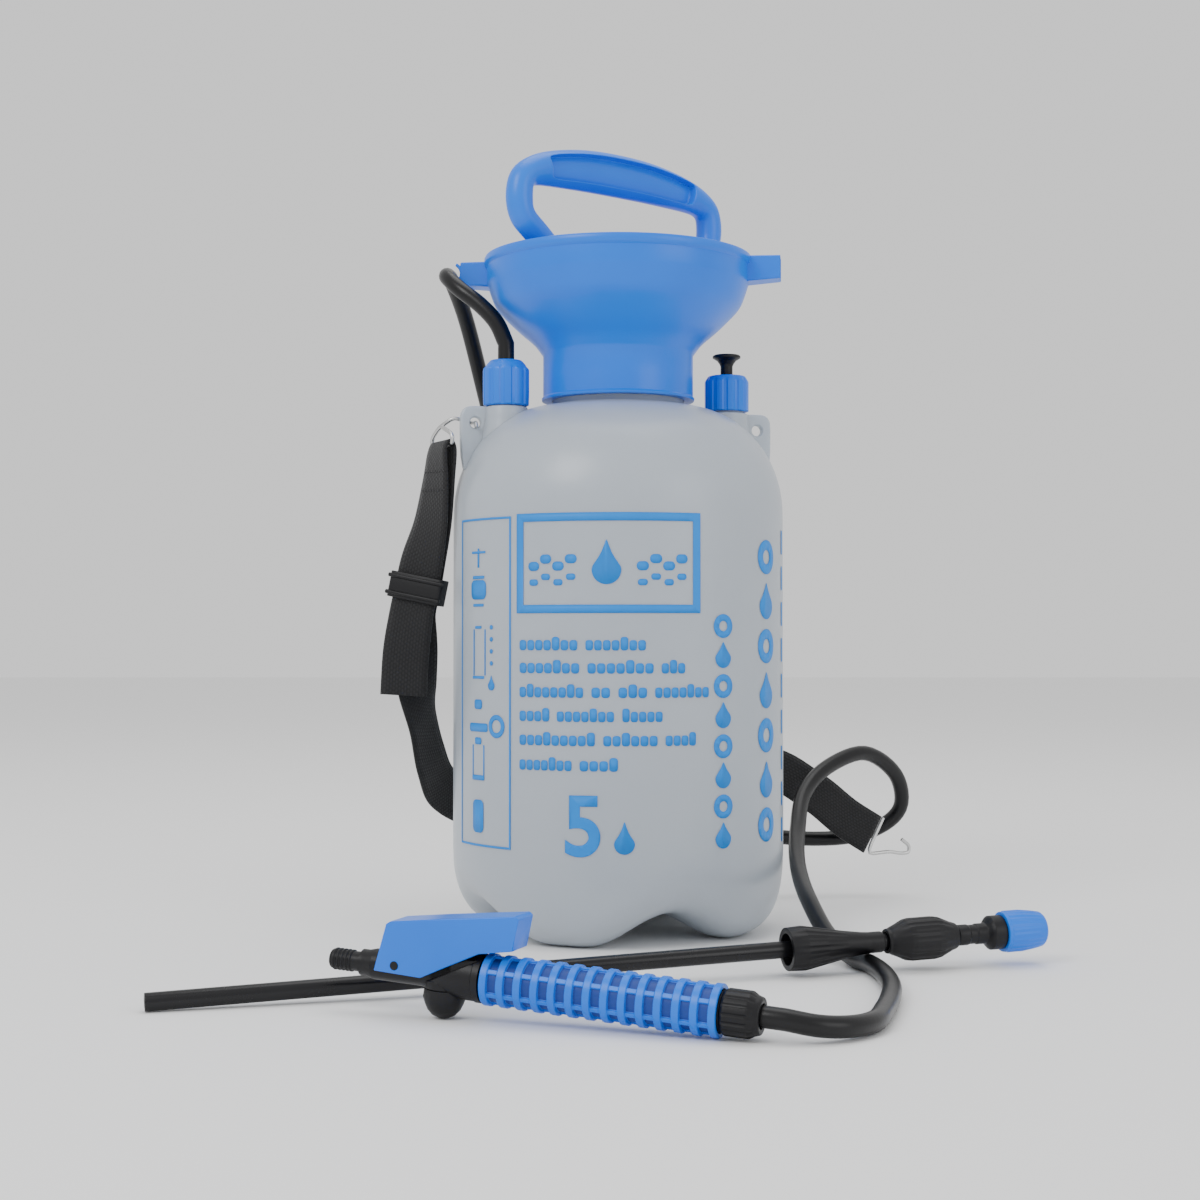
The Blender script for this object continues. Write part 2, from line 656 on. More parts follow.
def build_pump(parent):
    white = FINISH["white_plastic"]
    blue = FINISH["blue_plastic"]
    rubber = FINISH["black_rubber"]
    gasket = ring(SKIRT_RADIUS + 0.0006, FLANGE_RADIUS - 0.0005, FLOOR_HIGH + GAP, FLOOR_HIGH + GAP + GASKET_THICK)
    turned("pump_gasket", gasket, rubber, parent, steps=20)

    outer = BARREL_BORE + BARREL_WALL
    floor_top = BARREL_FOOT + BARREL_FLOOR
    barrel = turned(
        "pump_barrel",
        [
            (VALVE_STEM_RADIUS + GAP, BARREL_FOOT),
            (outer, BARREL_FOOT),
            (outer, SKIRT_FOOT - 0.006),
            (SKIRT_RADIUS, SKIRT_FOOT),
            (SKIRT_RADIUS, BARREL_SEAT),
            (FLANGE_RADIUS, BARREL_SEAT),
            (FLANGE_RADIUS, FLANGE_TOP),
            (outer, FLANGE_TOP),
            (outer, CAP_TOP - 0.004),
            (BARREL_BORE, CAP_TOP - 0.004),
            (BARREL_BORE, floor_top),
            (VALVE_STEM_RADIUS + GAP, floor_top),
        ],
        white,
        parent,
        steps=20,
    )
    air_hole = disc(0.0012, BARREL_FOOT - 0.005, floor_top + 0.002)
    for i in range(4):
        at = around(0.0056, math.pi / 2 * i + math.pi / 20)
        combine(barrel, "DIFFERENCE", turned(f"air_hole_{i}", air_hole, None, parent, steps=8, at=at))

    turned(
        "pump_cap",
        [
            (ROD_RADIUS + GAP, CAP_TOP - 0.0035),
            (outer + GAP, CAP_TOP - 0.0035),
            (outer + GAP, FLANGE_TOP + GAP),
            (CAP_RADIUS, FLANGE_TOP + GAP),
            (CAP_RADIUS, CAP_TOP - 0.002),
            (CAP_RADIUS - 0.002, CAP_TOP),
            (ROD_RADIUS + GAP, CAP_TOP),
        ],
        blue,
        parent,
        steps=20,
    )

    valve_top = BARREL_FOOT - GAP
    turned(
        "check_valve",
        [
            (0, valve_top - 0.0020),
            (VALVE_RADIUS * 0.75, valve_top - 0.0014),
            (VALVE_RADIUS, valve_top - 0.0006),
            (VALVE_RADIUS, valve_top),
            (VALVE_STEM_RADIUS, valve_top),
            (VALVE_STEM_RADIUS, floor_top + GAP),
            (VALVE_STEM_RADIUS + 0.0010, floor_top + GAP),
            (0, floor_top + 0.0022),
        ],
        rubber,
        parent,
        steps=16,
    )
    cage_in = outer + GAP
    turned(
        "check_valve_cage",
        [
            (0.0080, CAGE_FOOT),
            (cage_in + CAGE_WALL, CAGE_FOOT),
            (cage_in + CAGE_WALL, BARREL_FOOT + 0.012),
            (cage_in, BARREL_FOOT + 0.012),
            (cage_in, BARREL_FOOT - 0.004),
            (cage_in - 0.0015, BARREL_FOOT - GAP),
            (cage_in - 0.0045, BARREL_FOOT - GAP),
            (cage_in - 0.0045, CAGE_FOOT + CAGE_WALL),
            (0.0080, CAGE_FOOT + CAGE_WALL),
        ],
        white,
        parent,
        steps=20,
    )


def build_plunger(parent):
    white = FINISH["white_plastic"]
    rubber = FINISH["black_rubber"]
    steel = FINISH["steel"]
    piston_top = PISTON_FOOT + PISTON_TALL
    rod_foot = piston_top + GAP
    rod_top = CAP_TOP + HUB_TALL - 0.003
    shank_top = PISTON_FOOT - GAP + SCREW_SHANK_LONG
    rod = turned(
        "piston_rod",
        [
            (0, shank_top + 0.002),
            (SCREW_SHANK_RADIUS + GAP, shank_top + 0.002),
            (SCREW_SHANK_RADIUS + GAP, rod_foot),
            (ROD_RADIUS, rod_foot),
            (ROD_RADIUS, rod_top),
            (0, rod_top),
        ],
        steel,
        parent,
        steps=16,
    )
    groove_low = PISTON_FOOT + (PISTON_TALL - RING_TALL) / 2
    groove_in = BARREL_BORE - GAP - RING_DEPTH
    piston_out = BARREL_BORE - 2 * GAP
    turned(
        "piston",
        [
            (SCREW_SHANK_RADIUS + GAP, PISTON_FOOT),
            (piston_out, PISTON_FOOT),
            (piston_out, groove_low),
            (groove_in - GAP, groove_low),
            (groove_in - GAP, groove_low + RING_TALL),
            (piston_out, groove_low + RING_TALL),
            (piston_out, piston_top),
            (SCREW_SHANK_RADIUS + GAP, piston_top),
        ],
        white,
        parent,
        steps=20,
    )
    piston_ring = ring(groove_in, BARREL_BORE - GAP, groove_low + GAP, groove_low + RING_TALL - GAP)
    turned("piston_ring", piston_ring, rubber, parent, steps=20)
    turned(
        "piston_screw",
        [
            (0, PISTON_FOOT - GAP - SCREW_HEAD_TALL),
            (SCREW_HEAD_RADIUS, PISTON_FOOT - GAP - SCREW_HEAD_TALL),
            (SCREW_HEAD_RADIUS, PISTON_FOOT - GAP),
            (SCREW_SHANK_RADIUS, PISTON_FOOT - GAP),
            (SCREW_SHANK_RADIUS, shank_top),
            (0, shank_top),
        ],
        steel,
        parent,
        steps=12,
    )

    handle = build_handle(parent)
    pin_height = CAP_TOP + HUB_TALL * 0.55
    across = frame_along((0, 0, pin_height), around(1.0, HANDLE_TURN + math.pi / 2))
    pin_frame = empty("handle_pin_axis", across, parent)
    hole = disc(HANDLE_PIN_RADIUS + GAP, -0.02, 0.02)
    pin_half = HUB_RADIUS - 0.0005
    for held in (handle, rod):
        combine(held, "DIFFERENCE", turned(held.name + "_pin_hole", hole, None, pin_frame, along="X", steps=12))
    turned("handle_pin", disc(HANDLE_PIN_RADIUS, -pin_half, pin_half), steel, pin_frame, along="X", steps=12)


def build_handle(parent):
    """A closed loop: sloping lower bars, two posts and a deep grip, moulded in one with the hub on the rod."""
    out = HANDLE_HALF - POST_RADIUS
    grip_middle = GRIP_TOP - GRIP_HALF_TALL
    hub_low = CAP_TOP + GAP
    bar_low = hub_low + HUB_TALL * 0.62
    half_loop = [
        # along the handle, height, half thickness across, half depth in the loop's own plane
        (0.0, bar_low, POST_RADIUS * 0.9, POST_RADIUS * 0.85),
        (0.016, bar_low + 0.003, POST_RADIUS * 0.9, POST_RADIUS * 0.85),
        (0.038, bar_low + 0.016, POST_RADIUS * 0.95, POST_RADIUS * 0.85),
        (out - 0.010, CORNER_HEIGHT - 0.0035, POST_RADIUS, POST_RADIUS * 0.9),
        (out - 0.002, CORNER_HEIGHT + 0.0015, POST_RADIUS, POST_RADIUS * 0.95),
        (out, CORNER_HEIGHT + 0.009, POST_RADIUS, POST_RADIUS),
        (out, GRIP_END_HEIGHT - 0.010, POST_RADIUS, POST_RADIUS),
        (out - 0.002, GRIP_END_HEIGHT - 0.003, POST_RADIUS, POST_RADIUS),
        (out - 0.009, GRIP_END_HEIGHT + 0.001, POST_RADIUS, POST_RADIUS),
        (out * 0.62, grip_middle - 0.0025, GRIP_HALF_THICK * 0.95, GRIP_HALF_TALL * 0.86),
        (out * 0.32, grip_middle - 0.0006, GRIP_HALF_THICK, GRIP_HALF_TALL * 0.97),
    ]
    middle = [(0.0, grip_middle, GRIP_HALF_THICK, GRIP_HALF_TALL)]
    other_half = [(-u, z, a, b) for u, z, a, b in reversed(half_loop[1:])]
    loop = half_loop + middle + other_half
    along = Vector(around(1.0, HANDLE_TURN))
    across = Vector(around(1.0, HANDLE_TURN + math.pi / 2))
    spots = [along * u + Vector((0, 0, z)) for u, z, _, _ in loop]
    rings = []
    for i, (_, _, thick, deep) in enumerate(loop):
        ahead = (spots[(i + 1) % len(spots)] - spots[i - 1]).normalized()
        side = ahead.cross(across)
        turns = [2 * math.pi * k / HANDLE_SIDES for k in range(HANDLE_SIDES)]
        rings.append(
            [spots[i] + across * (thick * math.cos(turn)) + side * (deep * math.sin(turn)) for turn in turns]
        )
    handle = lofted("pump_handle", rings, FINISH["blue_plastic"], parent, closed=True)
    hub = turned("handle_hub", disc(HUB_RADIUS, hub_low, hub_low + HUB_TALL), None, parent)
    socket = turned("rod_socket", disc(ROD_RADIUS + GAP, NECK_TOP - 0.009, hub_low + HUB_TALL - 0.003), None, parent, steps=16)
    combine(handle, "UNION", hub)
    combine(handle, "DIFFERENCE", socket)
    return handle


# Outlet


def build_outlet(parent):
    blue = FINISH["blue_plastic"]
    white = FINISH["white_plastic"]
    port = empty("outlet_axis", around(PORT_RADIUS, PORT_TURN), parent)
    seal_low = OUTLET_SPOUT_TOP + GAP
    flange_low = seal_low + 0.0017 + GAP
    flange_high = flange_low + 0.002
    tail_top = OUTLET_NUT_TOP - 0.0013
    turned("outlet_seal", ring(DIP_RADIUS + 0.0008, 0.0092, seal_low, seal_low + 0.0017), FINISH["black_rubber"], port)
    turned(
        "outlet_nut",
        [
            (SPOUT_RADIUS + GAP, OUTLET_NUT_FOOT),
            (OUTLET_NUT_RADIUS, OUTLET_NUT_FOOT),
            (OUTLET_NUT_RADIUS, OUTLET_NUT_TOP - 0.0045),
            (OUTLET_NUT_RADIUS - 0.0035, OUTLET_NUT_TOP),
            (HOSE_RADIUS + 0.0006, OUTLET_NUT_TOP),
            (HOSE_RADIUS + 0.0006, flange_high + GAP),
            (SPOUT_RADIUS + GAP, flange_high + GAP),
        ],
        blue,
        port,
        steps=18,
    )
    dip_top = flange_low - GAP
    turned(
        "outlet_tail",
        [
            (TAIL_BORE, dip_top - 0.011),
            (DIP_BORE - GAP, dip_top - 0.011),
            (DIP_BORE - GAP, flange_low),
            (0.0092, flange_low),
            (0.0092, flange_high),
            (HOSE_RADIUS - 0.0001, flange_high),
            (HOSE_RADIUS - 0.0001, tail_top),
            (TAIL_BORE, tail_top),
        ],
        white,
        port,
    )
    turned("dip_tube", ring(DIP_BORE, DIP_RADIUS, DIP_FOOT, dip_top), FINISH["clear_tube"], port, steps=14)
    filter_in = DIP_RADIUS + GAP
    turned(
        "dip_filter",
        [
            (0, DIP_FOOT - 0.003),
            (filter_in + 0.0012, DIP_FOOT - 0.003),
            (filter_in + 0.0012, DIP_FOOT + 0.012),
            (filter_in, DIP_FOOT + 0.012),
            (filter_in, DIP_FOOT - GAP),
            (0, DIP_FOOT - GAP),
        ],
        white,
        port,
        steps=14,
    )
    return tail_top


# Relief valve


def build_relief(parent):
    black = FINISH["black_plastic"]
    rubber = FINISH["black_rubber"]
    port = empty("relief_axis", around(PORT_RADIUS, RELIEF_TURN), parent)
    gasket_low = RELIEF_SPOUT_TOP + GAP
    flange_low = gasket_low + 0.0015 + GAP
    flange_high = flange_low + 0.0019
    nut_under = flange_high + GAP
    turned("relief_gasket", ring(SPOUT_BORE - 0.0003, 0.0093, gasket_low, gasket_low + 0.0015), rubber, port)
    turned(
        "relief_nut",
        [
            (SPOUT_RADIUS + GAP, RELIEF_NUT_FOOT),
            (RELIEF_NUT_RADIUS, RELIEF_NUT_FOOT),
            (RELIEF_NUT_RADIUS, RELIEF_NUT_TOP - 0.003),
            (RELIEF_NUT_RADIUS - 0.0011, RELIEF_NUT_TOP),
            (STEM_RADIUS + 0.0007, RELIEF_NUT_TOP),
            (STEM_RADIUS + 0.0007, nut_under + 0.0006),
            (SPOUT_RADIUS + GAP, nut_under),
        ],
        FINISH["blue_plastic"],
        port,
        steps=18,
    )
    chamber = 0.0050
    seat_low = RELIEF_SEAT_HEIGHT - 0.002
    turned(
        "relief_body",
        [
            (0.0022, seat_low),
            (chamber + 0.0011, seat_low),
            (chamber + 0.0011, flange_low),
            (0.0092, flange_low),
            (0.0092, flange_high),
            (chamber, flange_high),
            (chamber, RELIEF_SEAT_HEIGHT),
            (0.0022, RELIEF_SEAT_HEIGHT),
        ],
        black,
        port,
    )
    seal_low = RELIEF_SEAT_HEIGHT + GAP
    collar_low = seal_low + 0.0017 + GAP
    collar_high = collar_low + 0.0016
    turned("relief_seal", disc(0.0040, seal_low, seal_low + 0.0017), rubber, port, steps=16)
    knob_low = RELIEF_NUT_TOP + GAP
    turned(
        "relief_knob",
        [
            (0, collar_low),
            (0.0042, collar_low),
            (0.0042, collar_high),
            (STEM_RADIUS, collar_high),
            (STEM_RADIUS, knob_low),
            (KNOB_STEM_RADIUS, knob_low),
            (KNOB_STEM_RADIUS, KNOB_TOP - 0.0062),
            (KNOB_RADIUS * 0.70, KNOB_TOP - 0.0034),
            (KNOB_RADIUS, KNOB_TOP - 0.0020),
            (KNOB_RADIUS, KNOB_TOP - 0.0008),
            (KNOB_RADIUS * 0.72, KNOB_TOP),
            (0, KNOB_TOP),
        ],
        black,
        port,
    )
    spring_low = collar_high + GAP + SPRING_WIRE
    spring_high = nut_under - GAP - SPRING_WIRE
    coil = coil_points(0.0034, spring_low, spring_high, 4.5)
    wire("relief_spring", coil, SPRING_WIRE, FINISH["steel"], port, sides=0)


# Gun


def build_gun(parent):
    black = FINISH["black_plastic"]
    rubber = FINISH["black_rubber"]
    steel = FINISH["steel"]
    gun = empty("gun_frame", frame_along(GUN_TIP, GUN_AXIS), parent)
    valve_axis = empty("valve_axis", (VALVE_AT, 0, 0), gun)

    body = turned(
        "gun_body",
        [
            (0, 0.0),
            (CONNECTOR_RADIUS, 0.0),
            (CONNECTOR_RADIUS, CONNECTOR_LONG),
            (GUN_NOSE_RADIUS, CONNECTOR_LONG + 0.003),
            (GUN_NOSE_RADIUS, VALVE_AT - 0.010),
            (GUN_BODY_RADIUS, VALVE_AT + 0.004),
            (GUN_BODY_RADIUS, GRIP_START - GAP),
            (CORE_RADIUS, GRIP_START - GAP),
            (CORE_RADIUS, GRIP_END + GAP),
            (THREAD_RADIUS, GRIP_END + GAP),
            (THREAD_RADIUS, THREAD_END),
            (CORE_BORE, THREAD_END),
            (CORE_BORE, GRIP_START + 0.003),
            (0, GRIP_START + 0.003),
        ],
        black,
        gun,
        along="X",
        steps=18,
    )
    tower = disc(VALVE_TOWER_RADIUS, -VALVE_CAP_RIM - 0.003, TOWER_TOP)
    tower = turned("valve_tower", tower, None, valve_axis, steps=18)
    chamber = turned(
        "valve_chamber",
        [
            (0, -VALVE_CAP_RIM - 0.010),
            (VALVE_CHAMBER, -VALVE_CAP_RIM - 0.010),
            (VALVE_CHAMBER, VALVE_SEAT),
            (VALVE_THROAT, VALVE_SEAT),
            (VALVE_THROAT, TOWER_TOP - 0.004),
            (GUN_STEM_RADIUS + GAP, TOWER_TOP - 0.004),
            (GUN_STEM_RADIUS + GAP, TOWER_TOP + 0.010),
            (0, TOWER_TOP + 0.010),
        ],
        None,
        valve_axis,
    )
    outlet_way = disc(OUTLET_WAY_RADIUS, -0.01, VALVE_AT)
    outlet_way = turned("outlet_way", outlet_way, None, gun, along="X", steps=10, at=(0, 0, -OUTLET_WAY_DROP))
    inlet_way = disc(INLET_WAY_RADIUS, VALVE_AT, GRIP_START + 0.010)
    inlet_way = turned("inlet_way", inlet_way, None, gun, along="X", steps=10, at=(0, 0, -INLET_WAY_DROP))
    cap_room = disc(VALVE_TOWER_RADIUS + GAP, -VALVE_CAP_FOOT - 0.002, -VALVE_CAP_RIM)
    cap_room = turned("valve_cap_room", cap_room, None, valve_axis, steps=18)
    pin_axis = empty("lever_axis", (LEVER_PIVOT[0], 0, LEVER_PIVOT[1]), gun)
    pin_hole = turned(
        "pin_hole", disc(LEVER_PIN_RADIUS + GAP, -0.02, 0.02), None, pin_axis, along="Y", steps=12
    )
    for tool in (tower, cap_room, chamber):
        tool.rotation_euler.z = CUTTER_TURN
    combine(body, "UNION", tower)
    combine(body, "DIFFERENCE", cap_room, chamber, outlet_way, inlet_way, pin_hole, *lever_room(gun))

    turned(
        "valve_cap",
        [
            (0, -VALVE_CAP_FOOT),
            (VALVE_TOWER_RADIUS * 0.50, -VALVE_CAP_FOOT + 0.0012),
            (VALVE_TOWER_RADIUS * 0.87, -VALVE_CAP_FOOT + 0.0044),
            (VALVE_TOWER_RADIUS, -VALVE_CAP_FOOT + 0.0087),
            (VALVE_TOWER_RADIUS, -VALVE_CAP_RIM - GAP),
            (VALVE_CHAMBER, -VALVE_CAP_RIM - GAP),
            (VALVE_CHAMBER, -VALVE_CAP_FOOT + 0.005),
            (0, -VALVE_CAP_FOOT + 0.005),
        ],
        black,
        valve_axis,
    )
    seal_high = VALVE_SEAT - GAP
    seal_low = seal_high - 0.0012
    collar_high = seal_low - GAP
    collar_low = collar_high - 0.0020
    turned(
        "valve_stem",
        [
            (0, collar_low),
            (VALVE_CHAMBER - 0.0010, collar_low),
            (VALVE_CHAMBER - 0.0010, collar_high),
            (GUN_STEM_RADIUS, collar_high),
            (GUN_STEM_RADIUS, GUN_STEM_TOP),
            (0, GUN_STEM_TOP),
        ],
        FINISH["white_plastic"],
        valve_axis,
    )
    turned("valve_seal", ring(GUN_STEM_RADIUS + GAP, VALVE_CHAMBER - 0.0004, seal_low, seal_high), rubber, valve_axis)
    gland = ring(GUN_STEM_RADIUS + GAP, VALVE_THROAT - GAP, TOWER_TOP - 0.0062, TOWER_TOP - 0.004 - GAP)
    turned("stem_gland", gland, rubber, valve_axis)
    spring_low = -VALVE_CAP_FOOT + 0.005 + GAP + SPRING_WIRE
    coil = coil_points(0.0032, spring_low, collar_low - GAP - SPRING_WIRE, 3.0)
    wire("valve_spring", coil, SPRING_WIRE, steel, valve_axis, sides=0)

    turned(
        "grip_sleeve",
        ring(CORE_RADIUS + GAP, SLEEVE_RADIUS, GRIP_START, GRIP_END),
        FINISH["blue_plastic"],
        gun,
        along="X",
        steps=18,
    )
    turned(
        "grip_filter",
        ring(FILTER_RADIUS - 0.0012, CORE_BORE - GAP, GRIP_START + 0.020, THREAD_END - 0.002),
        FINISH["white_plastic"],
        gun,
        along="X",
        steps=14,
    )
    flange_low = THREAD_END + GAP
    flange_high = flange_low + 0.0018
    turned(
        "hose_nut",
        [
            (THREAD_RADIUS + GAP, GRIP_END + 2 * GAP),
            (HOSE_NUT_RADIUS, GRIP_END + 2 * GAP),
            (HOSE_NUT_RADIUS, HOSE_NUT_END - 0.002),
            (HOSE_NUT_RADIUS - 0.0015, HOSE_NUT_END),
            (HOSE_RADIUS + 0.0006, HOSE_NUT_END),
            (HOSE_RADIUS + 0.0006, flange_high + GAP),
            (THREAD_RADIUS + GAP, flange_high + GAP),
        ],
        black,
        gun,
        along="X",
        steps=18,
    )
    tail_end = HOSE_NUT_END - 0.0013
    turned(
        "hose_tail",
        [
            (TAIL_BORE, flange_low),
            (THREAD_RADIUS - 0.0002, flange_low),
            (THREAD_RADIUS - 0.0002, flange_high),
            (HOSE_RADIUS - 0.0001, flange_high),
            (HOSE_RADIUS - 0.0001, tail_end),
            (TAIL_BORE, tail_end),
        ],
        black,
        gun,
        along="X",
        steps=14,
    )
    build_lever(pin_axis)
    return tail_end


def lever_room(gun):
    """The flats on the body's two sides, down to where the lever's sides reach when it is pressed."""
    room = [(LEVER_FRONT - 0.006, LEVER_UNDERSIDE[0][1] - 2 * GAP)]
    for x, z in LEVER_UNDERSIDE[:-1]:
        room.append((x, z - 2 * GAP - LEVER_PRESS * max(0.0, x - LEVER_PIVOT[0])))
    room += [(GRIP_START + 0.0015, room[-1][1]), (GRIP_START + 0.0015, 0.03), (room[0][0], 0.03)]
    inner = LEVER_HALF - LEVER_WALL - GAP
    wide = 0.006
    cutters = []
    for side, way in (("left", 1), ("right", -1)):
        at = (0, way * (inner + wide / 2), 0)
        cutters.append(extruded(f"lever_room_{side}", room, wide, None, gun, at=at))
    return cutters


def build_lever(pivot):
    """A channel open below and behind, on a cross pin in front of the valve."""
    px, pz = LEVER_PIVOT
    side = [(x - px, z - pz) for x, z in LEVER_UNDERSIDE]
    side += [(LEVER_BACK - px, 0.0290 - pz), (LEVER_FRONT + 0.0045 - px, 0.0200 - pz)]
    lever = extruded("gun_lever", side, 2 * LEVER_HALF, FINISH["blue_plastic"], pivot)
    hollow = [
        (LEVER_FRONT + LEVER_WALL - px, -0.0100 - pz),
        (LEVER_BACK + 0.010 - px, -0.0100 - pz),
        (LEVER_BACK + 0.010 - px, 0.0290 - LEVER_WALL - pz),
        (LEVER_FRONT + 0.0045 + LEVER_WALL - px, 0.0200 - LEVER_WALL - pz),
    ]
    channel = extruded("lever_channel", hollow, 2 * (LEVER_HALF - LEVER_WALL), None, pivot)
    hole = turned("lever_hole", disc(LEVER_PIN_RADIUS + GAP, -0.02, 0.02), None, pivot, along="Y", steps=12)
    front_slot = turned(
        "lever_front_slot",
        disc(GUN_NOSE_RADIUS + GAP, LEVER_FRONT - px - 0.01, LEVER_FRONT - px + 0.005),
        None,
        pivot,
        along="X",
        at=(0, 0, -pz),
    )
    combine(lever, "DIFFERENCE", channel, hole, front_slot)
    half = LEVER_HALF - 0.0004
    turned("lever_pin", disc(LEVER_PIN_RADIUS, -half, half), FINISH["steel"], pivot, along="Y", steps=12)


# Lance


def build_lance(parent):
    black = FINISH["black_plastic"]
    blue = FINISH["blue_plastic"]
    rubber = FINISH["black_rubber"]
    lance = empty("lance_frame", frame_along(LANCE_END, LANCE_AXIS), parent)

    def along_lance(name, outline, finish, steps=16):
        return turned(name, outline, finish, lance, along="X", steps=steps)

    along_lance("lance_tube", ring(LANCE_BORE, LANCE_RADIUS, 0.0, LANCE_LONG), black, 16)
    slide_in = LANCE_RADIUS + GAP
    along_lance(
        "lance_nut",
        [
            (slide_in + 0.0032, LANCE_NUT_START),
            (LANCE_NUT_MOUTH, LANCE_NUT_START),
            (LANCE_NUT_MOUTH, LANCE_NUT_START + 0.008),
            (LANCE_NUT_MOUTH * 0.80, LANCE_NUT_START + 0.018),
            (LANCE_NUT_BACK, LANCE_NUT_END - 0.009),
            (LANCE_NUT_BACK, LANCE_NUT_END),
            (slide_in, LANCE_NUT_END),
            (slide_in, LANCE_NUT_START + 0.018),
            (slide_in + 0.0032, LANCE_NUT_START + 0.014),
        ],
        black,
        18,
    )
    seal = ring(slide_in, slide_in + 0.0026, LANCE_NUT_START + 0.008, LANCE_NUT_START + 0.0105)
    along_lance("lance_seal", seal, rubber, 14)

    spigot_start = LANCE_LONG + 0.004
    along_lance(
        "nozzle_coupling",
        [
            (slide_in, COUPLING_START),
            (COUPLING_END_RADIUS, COUPLING_START),
            (COUPLING_RADIUS, COUPLING_START + 0.010),
            (COUPLING_RADIUS, COUPLING_END - 0.012),
            (COUPLING_END_RADIUS, COUPLING_END),
            (slide_in, COUPLING_END),
            (slide_in, LANCE_LONG + 0.0035),
            (LANCE_BORE, LANCE_LONG + 0.0035),
            (LANCE_BORE, LANCE_LONG + GAP),
            (slide_in, LANCE_LONG + GAP),
        ],
        black,
        18,
    )
    flange_start = NECK_END
    flange_end = NOZZLE_CAP_START - GAP
    thread_end = NOZZLE_CAP_START + 0.0115
    along_lance(
        "nozzle_body",
        [
            (0.0015, spigot_start),
            (LANCE_RADIUS, spigot_start),
            (LANCE_RADIUS, COUPLING_END + GAP),
            (NOZZLE_NECK_RADIUS, COUPLING_END + GAP),
            (NOZZLE_NECK_RADIUS, flange_start),
            (NOZZLE_FLANGE_RADIUS, flange_start + 0.001),
            (NOZZLE_FLANGE_RADIUS, flange_end),
            (NOZZLE_THREAD_RADIUS, flange_end),
            (NOZZLE_THREAD_RADIUS, thread_end),
            (CORE_NOZZLE_RADIUS + GAP, thread_end),
            (CORE_NOZZLE_RADIUS + GAP, thread_end - 0.006),
            (0.0015, thread_end - 0.006),
        ],
        black,
    )
    core_end = NOZZLE_CAP_END - 0.0036
    core = [
        (0, thread_end - 0.006 + GAP),
        (CORE_NOZZLE_RADIUS, thread_end - 0.006 + GAP),
        (CORE_NOZZLE_RADIUS, core_end - 0.002),
        (0.0012, core_end),
        (0, core_end),
    ]
    along_lance("nozzle_core", core, FINISH["white_plastic"], 14)
    seal_low = thread_end + GAP
    seal = ring(CORE_NOZZLE_RADIUS + GAP, NOZZLE_THREAD_RADIUS, seal_low, seal_low + 0.0020)
    along_lance("nozzle_seal", seal, rubber, 14)
    along_lance(
        "nozzle_cap",
        [
            (NOZZLE_THREAD_RADIUS + GAP, NOZZLE_CAP_START),
            (NOZZLE_CAP_RADIUS, NOZZLE_CAP_START),
            (NOZZLE_CAP_RADIUS, NOZZLE_CAP_START + 0.010),
            (NOZZLE_CAP_FRONT_RADIUS, NOZZLE_CAP_END - 0.001),
            (NOZZLE_CAP_FRONT_RADIUS - 0.0010, NOZZLE_CAP_END),
            (0.0007, NOZZLE_CAP_END),
            (0.0007, core_end + 0.0010),
            (NOZZLE_THREAD_RADIUS + GAP, core_end - 0.0010),
        ],
        blue,
        18,
    )


# Hose and strap


def build_hose(parent, outlet_top, gun_tail_end):
    """One smooth run from the outlet's tail to the gun's. It leaves both straight."""
    start = Vector(around(PORT_RADIUS, PORT_TURN, outlet_top + GAP))
    leaving = start + Vector((0, 0, HOSE_STRAIGHT))
    in_gun = frame_along(GUN_TIP, GUN_AXIS)
    end = in_gun @ Vector((gun_tail_end + GAP, 0, 0))
    arriving = in_gun @ Vector((gun_tail_end + GAP + HOSE_STRAIGHT, 0, 0))
    route = [leaving] + [Vector(point) for point in HOSE_ROUTE] + [arriving]
    points = [start] + smooth_points(route, spacing=HOSE_STEP) + [end]
    wire("hose", points, HOSE_RADIUS, FINISH["black_plastic"], parent)


def build_strap(parent):
    places = smooth_points([Vector(place) for place, _ in STRAP_ROUTE], between=STRAP_BETWEEN)
    widths = smooth_points([Vector(width) for _, width in STRAP_ROUTE], between=STRAP_BETWEEN)
    rings = []
    for i, (place, width) in enumerate(zip(places, widths)):
        ahead = (places[min(i + 1, len(places) - 1)] - places[max(i - 1, 0)]).normalized()
        wide = (width - ahead * width.dot(ahead)).normalized() * (STRAP_WIDTH / 2)
        thick = ahead.cross(wide).normalized() * (STRAP_THICK / 2)
        rings.append([place - wide - thick, place + wide - thick, place + wide + thick, place - wide + thick])
    lofted("strap", rings, FINISH["webbing"], parent)

    build_adjuster(parent)
    build_hooks(parent)


def build_adjuster(parent):
    """A slider whose two slots each hold both layers of the webbing."""
    front = Vector(STRAP_ROUTE[3][0])
    back = Vector(STRAP_ROUTE[13][0])
    up = (Vector(STRAP_ROUTE[4][0]) - Vector(STRAP_ROUTE[2][0])).normalized()
    wide = Vector(STRAP_ROUTE[3][1])
    wide = (wide - up * wide.dot(up)).normalized()
    held = Matrix((wide, up.cross(wide), up)).transposed().to_4x4()
    held.translation = (front + back) / 2
    deep = (back - front).length + STRAP_THICK
    slide = empty("adjuster_frame", held, parent)
    half_wide = ADJUSTER_WIDTH / 2
    half_tall = ADJUSTER_TALL / 2
    thick = deep + 2 * (SLOT + ADJUSTER_WALL)
    outline = [(-half_wide, -half_tall), (half_wide, -half_tall), (half_wide, half_tall), (-half_wide, half_tall)]
    adjuster = extruded("strap_adjuster", outline, thick, FINISH["black_plastic"], slide)
    slot_wide = STRAP_WIDTH / 2 + 0.0012
    slot = [(-slot_wide, -0.02), (slot_wide, -0.02), (slot_wide, 0.02), (-slot_wide, 0.02)]
    combine(adjuster, "DIFFERENCE", extruded("adjuster_slot", slot, deep + 2 * SLOT, None, slide))


